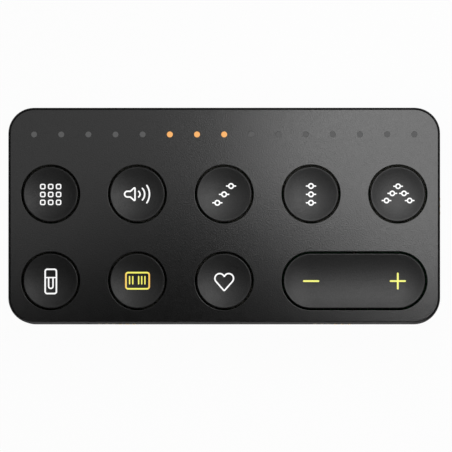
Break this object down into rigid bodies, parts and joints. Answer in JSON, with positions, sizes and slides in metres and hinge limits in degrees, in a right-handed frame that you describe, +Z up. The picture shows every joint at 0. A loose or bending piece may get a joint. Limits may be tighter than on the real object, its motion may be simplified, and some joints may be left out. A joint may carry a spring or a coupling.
{
  "type": "midi button controller",
  "caption": "Flat black desk controller box with dished round push buttons, a long plus and minus rocker button, a row of small indicator lights and magnetic contact docks in its sides.",
  "frame": {"origin": "on the desk, under the middle of the box", "axes": "+X along the rows of buttons to the right, +Y to the back edge with the indicator lights, +Z up"},
  "size_m": [0.0942, 0.0472, 0.02],
  "materials": {
    "case_plastic": "satin, fine grain",
    "button_plastic": "satin, fine grain",
    "pad_rubber": "matt",
    "dome_silicone": "matt, milky",
    "milky_plastic": "milky",
    "clear_plastic": "clear, gloss",
    "mask_plastic": "matt",
    "board_laminate": "solder mask",
    "chip_plastic": "matt moulding",
    "crystal_can": "satin",
    "led_package": "gloss",
    "screw_steel": "zinc plated",
    "magnet_nickel": "nickel plated",
    "contact_gold": "gold plated"
  },
  "bodies": {
    "case": {"top_cover": "case_plastic", "base_tray": "case_plastic", "dock_insert_front_left": "case_plastic", "dock_insert_front_right": "case_plastic", "dock_insert_right": "case_plastic", "dock_insert_back_right": "case_plastic", "dock_insert_back_left": "case_plastic", "dock_insert_left": "case_plastic", "base_pad": "pad_rubber", "dome_grid": "dome_silicone", "dome_speaker": "dome_silicone", "dome_rising_notes": "dome_silicone", "dome_stacked_notes": "dome_silicone", "dome_peaked_notes": "dome_silicone", "dome_pedal": "dome_silicone", "dome_keyboard": "dome_silicone", "dome_heart": "dome_silicone", "dome_minus": "dome_silicone", "dome_plus": "dome_silicone", "indicator_light_guide": "clear_plastic", "indicator_light_mask": "mask_plastic", "main_board": "board_laminate", "controller_chip": "chip_plastic", "memory_chip": "chip_plastic", "power_chip": "chip_plastic", "power_inductor": "chip_plastic", "clock_crystal": "crystal_can", "key_leds": "led_package", "indicator_leds": "led_package", "board_screws": "screw_steel", "dock_magnets": "magnet_nickel", "dock_pads": "contact_gold"},
    "grid_button": {"key_grid": "button_plastic", "diffuser_grid": "milky_plastic"},
    "speaker_button": {"key_speaker": "button_plastic", "diffuser_speaker": "milky_plastic"},
    "rising_notes_button": {"key_rising_notes": "button_plastic", "diffuser_rising_notes": "milky_plastic"},
    "stacked_notes_button": {"key_stacked_notes": "button_plastic", "diffuser_stacked_notes": "milky_plastic"},
    "peaked_notes_button": {"key_peaked_notes": "button_plastic", "diffuser_peaked_notes": "milky_plastic"},
    "pedal_button": {"key_pedal": "button_plastic", "diffuser_pedal": "milky_plastic"},
    "keyboard_button": {"key_keyboard": "button_plastic", "diffuser_keyboard": "milky_plastic"},
    "heart_button": {"key_heart": "button_plastic", "diffuser_heart": "milky_plastic"},
    "rocker_button": {"key_rocker": "button_plastic", "diffuser_minus": "milky_plastic", "diffuser_plus": "milky_plastic"},
    "blades_front_left": {"dock_blades_front_left": "contact_gold"},
    "blades_front_right": {"dock_blades_front_right": "contact_gold"},
    "blades_right": {"dock_blades_right": "contact_gold"},
    "blades_back_right": {"dock_blades_back_right": "contact_gold"},
    "blades_back_left": {"dock_blades_back_left": "contact_gold"},
    "blades_left": {"dock_blades_left": "contact_gold"}
  },
  "joints": [
    {"name": "grid_press", "type": "slide", "parent": "case", "child": "grid_button", "axis": [0, 0, -1], "range_m": [0, 0.0006], "stiffness_N_per_m": 2000, "deforming": ["dome_grid"]},
    {"name": "speaker_press", "type": "slide", "parent": "case", "child": "speaker_button", "axis": [0, 0, -1], "range_m": [0, 0.0006], "stiffness_N_per_m": 2000, "deforming": ["dome_speaker"]},
    {"name": "rising_notes_press", "type": "slide", "parent": "case", "child": "rising_notes_button", "axis": [0, 0, -1], "range_m": [0, 0.0006], "stiffness_N_per_m": 2000, "deforming": ["dome_rising_notes"]},
    {"name": "stacked_notes_press", "type": "slide", "parent": "case", "child": "stacked_notes_button", "axis": [0, 0, -1], "range_m": [0, 0.0006], "stiffness_N_per_m": 2000, "deforming": ["dome_stacked_notes"]},
    {"name": "peaked_notes_press", "type": "slide", "parent": "case", "child": "peaked_notes_button", "axis": [0, 0, -1], "range_m": [0, 0.0006], "stiffness_N_per_m": 2000, "deforming": ["dome_peaked_notes"]},
    {"name": "pedal_press", "type": "slide", "parent": "case", "child": "pedal_button", "axis": [0, 0, -1], "range_m": [0, 0.0006], "stiffness_N_per_m": 2000, "deforming": ["dome_pedal"]},
    {"name": "keyboard_press", "type": "slide", "parent": "case", "child": "keyboard_button", "axis": [0, 0, -1], "range_m": [0, 0.0006], "stiffness_N_per_m": 2000, "deforming": ["dome_keyboard"]},
    {"name": "heart_press", "type": "slide", "parent": "case", "child": "heart_button", "axis": [0, 0, -1], "range_m": [0, 0.0006], "stiffness_N_per_m": 2000, "deforming": ["dome_heart"]},
    {"name": "rocker_tilt", "type": "hinge", "parent": "case", "child": "rocker_button", "pos_m": [0.02835, -0.0142, 0.01735], "axis": [0, 1, 0], "range_deg": [-2.2, 2.2], "stiffness_Nm_per_rad": 0.36, "deforming": ["dome_minus", "dome_plus"]},
    {"name": "blades_front_left_push", "type": "slide", "parent": "case", "child": "blades_front_left", "axis": [0, 1, 0], "range_m": [0, 0.0004], "stiffness_N_per_m": 400},
    {"name": "blades_front_right_push", "type": "slide", "parent": "case", "child": "blades_front_right", "axis": [0, 1, 0], "range_m": [0, 0.0004], "stiffness_N_per_m": 400},
    {"name": "blades_right_push", "type": "slide", "parent": "case", "child": "blades_right", "axis": [-1, 0, 0], "range_m": [0, 0.0004], "stiffness_N_per_m": 400},
    {"name": "blades_back_right_push", "type": "slide", "parent": "case", "child": "blades_back_right", "axis": [0, -1, 0], "range_m": [0, 0.0004], "stiffness_N_per_m": 400},
    {"name": "blades_back_left_push", "type": "slide", "parent": "case", "child": "blades_back_left", "axis": [0, -1, 0], "range_m": [0, 0.0004], "stiffness_N_per_m": 400},
    {"name": "blades_left_push", "type": "slide", "parent": "case", "child": "blades_left", "axis": [1, 0, 0], "range_m": [0, 0.0004], "stiffness_N_per_m": 400}
  ]
}
